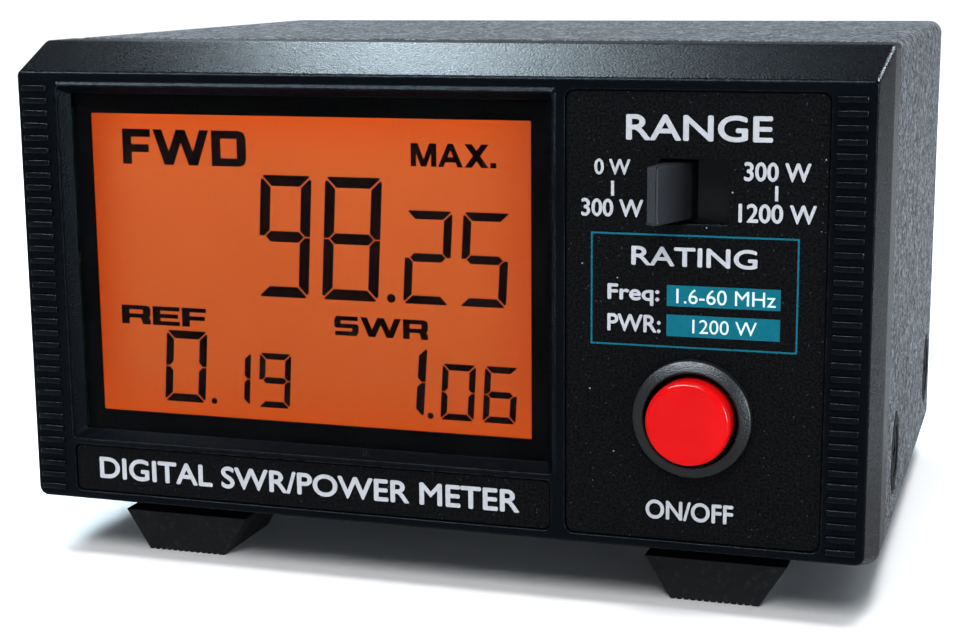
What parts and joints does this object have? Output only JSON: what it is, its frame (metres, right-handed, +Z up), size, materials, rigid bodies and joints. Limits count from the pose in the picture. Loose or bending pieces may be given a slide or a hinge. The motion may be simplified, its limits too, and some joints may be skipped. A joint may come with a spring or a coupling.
{
  "type": "swr meter",
  "caption": "Desktop SWR and power meter: front bezel with backlit display, range slide switch, push button, and coax sockets behind.",
  "frame": {"origin": "on the table plane, at the middle of the meter's overall width and depth", "axes": "+Z up; the display faces -Y; the coax sockets point towards +Y; +X is to the right as seen from the front"},
  "size_m": [0.12, 0.1162, 0.074],
  "materials": {
    "bezel_plastic": "fine matt grain",
    "overlay_film": "speckled film",
    "window_clear": "polished clear acrylic",
    "display_amber": "backlit amber display",
    "diffuser_white": "milky light guide",
    "circuit_board": "green solder mask",
    "case_paint": "grey wrinkle paint",
    "chassis_steel": "zinc plated sheet",
    "button_red": "glossy red",
    "lever_plastic": "satin black",
    "black_plastic": "satin black",
    "screw_steel": "zinc plated",
    "screw_black": "black oxide",
    "foot_rubber": "matt black rubber",
    "insulator_white": "moulded insulator",
    "contact_brass": "brass",
    "plated_metal": "nickel plated",
    "ferrite_core": "wound ferrite ring",
    "wire_jacket": "grey wire bundle"
  },
  "bodies": {
    "case": {"front_bezel": "bezel_plastic", "control_overlay": "overlay_film", "name_overlay": "overlay_film", "display_window": "window_clear", "display_frame": "black_plastic", "display_panel": "display_amber", "backlight_panel": "diffuser_white", "display_board": "circuit_board", "display_board_screw_left": "screw_steel", "display_board_screw_right": "screw_steel", "range_switch_body": "chassis_steel", "power_button_collar": "black_plastic", "power_button_nut": "chassis_steel", "power_switch_body": "black_plastic", "chassis": "case_paint", "top_cover": "case_paint", "side_washer_front_left": "screw_black", "side_screw_front_left": "screw_black", "side_washer_rear_left": "screw_black", "side_screw_rear_left": "screw_black", "side_washer_front_right": "screw_black", "side_screw_front_right": "screw_black", "side_washer_rear_right": "screw_black", "side_screw_rear_right": "screw_black", "bezel_screw_lower_left": "screw_steel", "bezel_screw_upper_left": "screw_steel", "bezel_screw_lower_right": "screw_steel", "bezel_screw_upper_right": "screw_steel", "foot_front_left": "foot_rubber", "foot_screw_front_left": "screw_steel", "foot_front_right": "foot_rubber", "foot_screw_front_right": "screw_steel", "foot_rear_left": "foot_rubber", "foot_screw_rear_left": "screw_steel", "foot_rear_right": "foot_rubber", "foot_screw_rear_right": "screw_steel", "transmitter_socket_shell": "plated_metal", "transmitter_socket_insulator": "insulator_white", "transmitter_socket_contact": "contact_brass", "transmitter_socket_screw_lower_left": "plated_metal", "transmitter_socket_screw_lower_right": "plated_metal", "transmitter_socket_screw_upper_left": "plated_metal", "transmitter_socket_screw_upper_right": "plated_metal", "antenna_socket_shell": "plated_metal", "antenna_socket_insulator": "insulator_white", "antenna_socket_contact": "contact_brass", "antenna_socket_screw_lower_left": "plated_metal", "antenna_socket_screw_lower_right": "plated_metal", "antenna_socket_screw_upper_left": "plated_metal", "antenna_socket_screw_upper_right": "plated_metal", "coupler_can": "chassis_steel", "coupler_board": "circuit_board", "coupler_line": "contact_brass", "current_transformer": "ferrite_core", "dc_jack_body": "black_plastic", "dc_jack_pin": "plated_metal", "dc_jack_nut": "plated_metal", "wiring_harness": "wire_jacket"},
    "range_lever": {"range_switch_lever": "lever_plastic"},
    "power_button": {"power_button_cap": "button_red"}
  },
  "joints": [
    {"name": "range_lever_slide", "type": "slide", "parent": "case", "child": "range_lever", "axis": [1, 0, 0], "range_m": [0, 0.004]},
    {"name": "power_button_press", "type": "slide", "parent": "case", "child": "power_button", "axis": [0, 1, 0], "range_m": [0, 0.0025], "stiffness_N_per_m": 400, "springref_m": -0.001}
  ]
}
